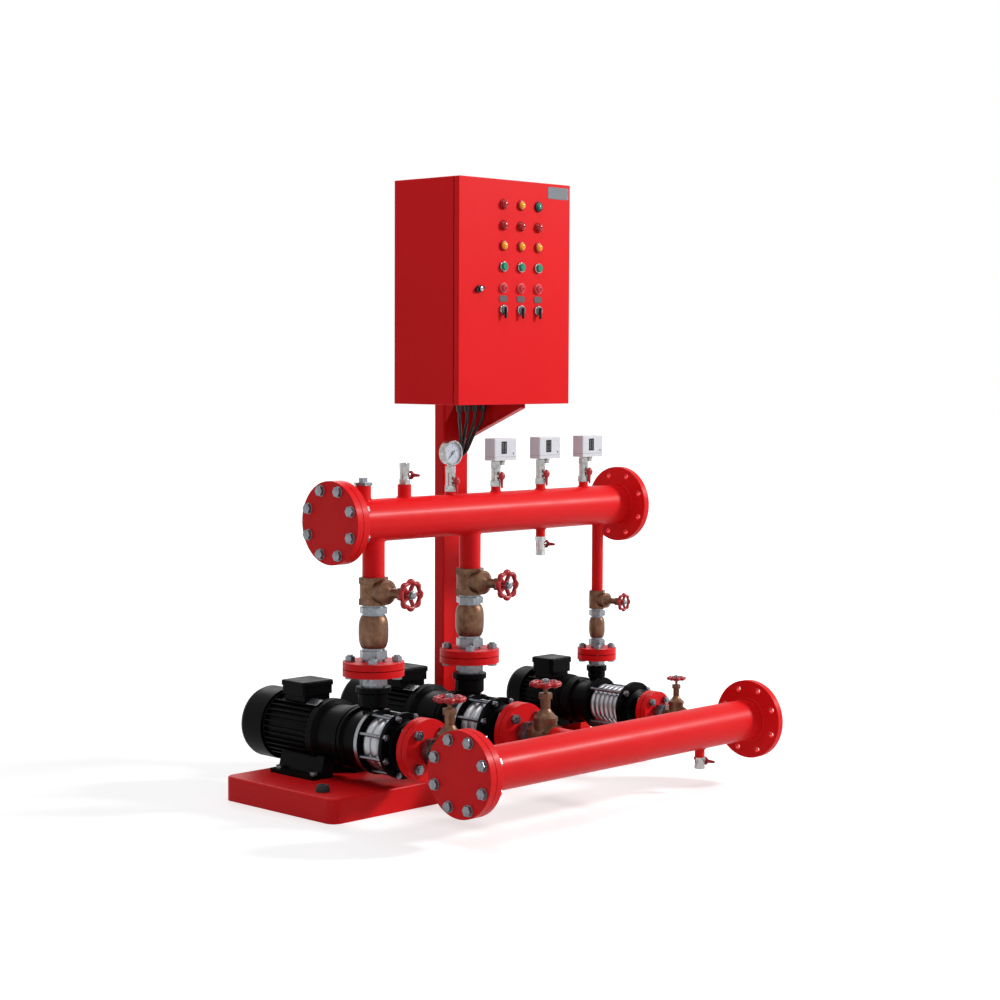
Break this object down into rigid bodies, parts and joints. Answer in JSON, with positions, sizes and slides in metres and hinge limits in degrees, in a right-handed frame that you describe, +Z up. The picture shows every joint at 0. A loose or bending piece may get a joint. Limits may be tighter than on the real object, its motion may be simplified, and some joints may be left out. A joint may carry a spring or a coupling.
{
  "type": "fire water pump set",
  "caption": "Skid-mounted fire pump set: horizontal multistage pumps between suction and discharge headers, with valves, gauge, pressure switches and a control cabinet on a post.",
  "frame": {"origin": "centre of the base's underside, on the floor", "axes": "+X along the headers towards their open flanges, -Y towards the suction header and the cabinet door, +Z up"},
  "size_m": [1.266, 1.0549, 1.697],
  "materials": {
    "red_paint": "gloss enamel over steel",
    "cabinet_red": "baked powder coat on folded sheet",
    "black_iron": "black enamel over cast iron",
    "black_sheet": "black enamel over pressed steel",
    "stainless": "pressed stainless steel",
    "zinc_steel": "bright zinc plate",
    "bearing_steel": "turned steel",
    "bronze": "sand-cast bronze",
    "nickel": "nickel plate on brass",
    "wheel_red": "red enamel over cast iron",
    "latch_black": "black die casting",
    "switch_grey": "moulded housing",
    "gasket": "cut sheet rubber",
    "cable_black": "extruded sheath",
    "panel_zinc": "galvanised plate with moulded devices",
    "lamp_lens": "domed lens",
    "start_green": "moulded cap",
    "stop_red": "moulded cap",
    "knob_black": "moulded knob"
  },
  "bodies": {
    "root": {"base_frame": "red_paint", "support_post": "red_paint", "suction_header": "red_paint", "discharge_header": "red_paint", "header_branches": "red_paint", "header_flanges": "red_paint", "blind_flanges": "red_paint", "pump_flanges": "red_paint", "cabinet_box": "cabinet_red", "motor_housings": "black_iron", "pump_casings": "black_iron", "terminal_boxes": "black_iron", "fan_covers": "black_sheet", "stage_casings": "stainless", "gauge_case": "stainless", "flange_bolts": "zinc_steel", "foot_bolts": "zinc_steel", "tie_rods": "zinc_steel", "pipe_nipples": "zinc_steel", "shaft_bearings": "bearing_steel", "gate_valve_bodies": "bronze", "valve_bonnets": "bronze", "check_valve_bodies": "bronze", "ball_valve_bodies": "nickel", "pressure_switches": "switch_grey", "flange_gaskets": "gasket", "base_stop": "gasket", "cable_glands": "gasket", "control_cables": "cable_black", "switchgear_panel": "panel_zinc"},
    "door": {"cabinet_door": "cabinet_red", "door_lamps": "lamp_lens", "button_bezels": "nickel"},
    "latch": {"door_latch": "latch_black"},
    "start_button_1": {"start_button_1": "start_green"},
    "stop_button_1": {"stop_button_1": "stop_red"},
    "selector_1": {"selector_1": "knob_black"},
    "start_button_2": {"start_button_2": "start_green"},
    "stop_button_2": {"stop_button_2": "stop_red"},
    "selector_2": {"selector_2": "knob_black"},
    "start_button_3": {"start_button_3": "start_green"},
    "stop_button_3": {"stop_button_3": "stop_red"},
    "selector_3": {"selector_3": "knob_black"},
    "discharge_wheel_1": {"discharge_handwheel_1": "wheel_red"},
    "suction_wheel_1": {"suction_handwheel_1": "wheel_red"},
    "rotor_1": {"pump_rotor_1": "bearing_steel"},
    "discharge_wheel_2": {"discharge_handwheel_2": "wheel_red"},
    "suction_wheel_2": {"suction_handwheel_2": "wheel_red"},
    "rotor_2": {"pump_rotor_2": "bearing_steel"},
    "discharge_wheel_3": {"discharge_handwheel_3": "wheel_red"},
    "suction_wheel_3": {"suction_handwheel_3": "wheel_red"},
    "rotor_3": {"pump_rotor_3": "bearing_steel"},
    "vent_valve_handle": {"vent_valve_lever": "wheel_red"},
    "gauge_valve_handle": {"gauge_valve_lever": "wheel_red"},
    "switch_valve_1_handle": {"switch_valve_lever_1": "wheel_red"},
    "switch_valve_2_handle": {"switch_valve_lever_2": "wheel_red"},
    "switch_valve_3_handle": {"switch_valve_lever_3": "wheel_red"},
    "header_drain_handle": {"header_drain_lever": "wheel_red"},
    "suction_drain_handle": {"suction_drain_lever": "wheel_red"},
    "needle": {"gauge_needle": "knob_black"}
  },
  "joints": [
    {"name": "door_hinge", "type": "hinge", "parent": "root", "child": "door", "pos_m": [0.3745, -0.0945, 1.382], "axis": [0, 0, 1], "range_deg": [0, 110]},
    {"name": "latch_turn", "type": "hinge", "parent": "door", "child": "latch", "pos_m": [0.006, -0.1085, 1.389], "axis": [0, -1, 0], "range_deg": [-16, 74]},
    {"name": "start_press_1", "type": "slide", "parent": "door", "child": "start_button_1", "axis": [0, 1, 0], "range_m": [0, 0.005], "stiffness_N_per_m": 400},
    {"name": "stop_press_1", "type": "slide", "parent": "door", "child": "stop_button_1", "axis": [0, 1, 0], "range_m": [0, 0.005], "stiffness_N_per_m": 400},
    {"name": "selector_turn_1", "type": "hinge", "parent": "door", "child": "selector_1", "pos_m": [0.103, -0.1085, 1.333], "axis": [0, -1, 0], "range_deg": [-45, 45]},
    {"name": "start_press_2", "type": "slide", "parent": "door", "child": "start_button_2", "axis": [0, 1, 0], "range_m": [0, 0.005], "stiffness_N_per_m": 400},
    {"name": "stop_press_2", "type": "slide", "parent": "door", "child": "stop_button_2", "axis": [0, 1, 0], "range_m": [0, 0.005], "stiffness_N_per_m": 400},
    {"name": "selector_turn_2", "type": "hinge", "parent": "door", "child": "selector_2", "pos_m": [0.174, -0.1085, 1.333], "axis": [0, -1, 0], "range_deg": [-45, 45]},
    {"name": "start_press_3", "type": "slide", "parent": "door", "child": "start_button_3", "axis": [0, 1, 0], "range_m": [0, 0.005], "stiffness_N_per_m": 400},
    {"name": "stop_press_3", "type": "slide", "parent": "door", "child": "stop_button_3", "axis": [0, 1, 0], "range_m": [0, 0.005], "stiffness_N_per_m": 400},
    {"name": "selector_turn_3", "type": "hinge", "parent": "door", "child": "selector_3", "pos_m": [0.245, -0.1085, 1.333], "axis": [0, -1, 0], "range_deg": [-45, 45]},
    {"name": "discharge_valve_1", "type": "hinge", "parent": "root", "child": "discharge_wheel_1", "pos_m": [-0.399, -0.264, 0.578], "axis": [0, -1, 0], "range_deg": [-2340, 0]},
    {"name": "suction_valve_1", "type": "hinge", "parent": "root", "child": "suction_wheel_1", "pos_m": [-0.399, -0.41, 0.322], "axis": [0, 0, 1], "range_deg": [-2340, 0]},
    {"name": "shaft_spin_1", "type": "hinge", "parent": "root", "child": "rotor_1", "pos_m": [-0.399, 0, 0.178], "axis": [0, 1, 0], "continuous": true},
    {"name": "discharge_valve_2", "type": "hinge", "parent": "root", "child": "discharge_wheel_2", "pos_m": [-0.037, -0.264, 0.578], "axis": [0, -1, 0], "range_deg": [-2340, 0]},
    {"name": "suction_valve_2", "type": "hinge", "parent": "root", "child": "suction_wheel_2", "pos_m": [-0.037, -0.41, 0.322], "axis": [0, 0, 1], "range_deg": [-2340, 0]},
    {"name": "shaft_spin_2", "type": "hinge", "parent": "root", "child": "rotor_2", "pos_m": [-0.037, 0, 0.178], "axis": [0, 1, 0], "continuous": true},
    {"name": "discharge_valve_3", "type": "hinge", "parent": "root", "child": "discharge_wheel_3", "pos_m": [0.498, -0.224, 0.485], "axis": [0, -1, 0], "range_deg": [-1620, 0]},
    {"name": "suction_valve_3", "type": "hinge", "parent": "root", "child": "suction_wheel_3", "pos_m": [0.498, -0.426, 0.282], "axis": [0, 0, 1], "range_deg": [-1620, 0]},
    {"name": "shaft_spin_3", "type": "hinge", "parent": "root", "child": "rotor_3", "pos_m": [0.498, 0, 0.178], "axis": [0, 1, 0], "continuous": true},
    {"name": "vent_valve_turn", "type": "hinge", "parent": "root", "child": "vent_valve_handle", "pos_m": [-0.287, -0.12, 0.88151], "axis": [1, 0, 0], "range_deg": [0, 90]},
    {"name": "gauge_valve_turn", "type": "hinge", "parent": "root", "child": "gauge_valve_handle", "pos_m": [-0.1135, -0.12, 0.86055], "axis": [0, -1, 0], "range_deg": [0, 90]},
    {"name": "switch_valve_1_turn", "type": "hinge", "parent": "root", "child": "switch_valve_1_handle", "pos_m": [0.065, -0.12, 0.86755], "axis": [0, -1, 0], "range_deg": [0, 90]},
    {"name": "switch_valve_2_turn", "type": "hinge", "parent": "root", "child": "switch_valve_2_handle", "pos_m": [0.249, -0.12, 0.86755], "axis": [0, -1, 0], "range_deg": [0, 90]},
    {"name": "switch_valve_3_turn", "type": "hinge", "parent": "root", "child": "switch_valve_3_handle", "pos_m": [0.433, -0.12, 0.86755], "axis": [0, -1, 0], "range_deg": [0, 90]},
    {"name": "header_drain_turn", "type": "hinge", "parent": "root", "child": "header_drain_handle", "pos_m": [0.25, -0.12, 0.66417], "axis": [1, 0, 0], "range_deg": [0, 90]},
    {"name": "suction_drain_turn", "type": "hinge", "parent": "root", "child": "suction_drain_handle", "pos_m": [0.365, -0.62, 0.08441], "axis": [1, 0, 0], "range_deg": [0, 90]},
    {"name": "gauge_sweep", "type": "hinge", "parent": "root", "child": "needle", "pos_m": [-0.1135, -0.12, 0.93715], "axis": [0, -1, 0], "range_deg": [-270, 0]}
  ]
}
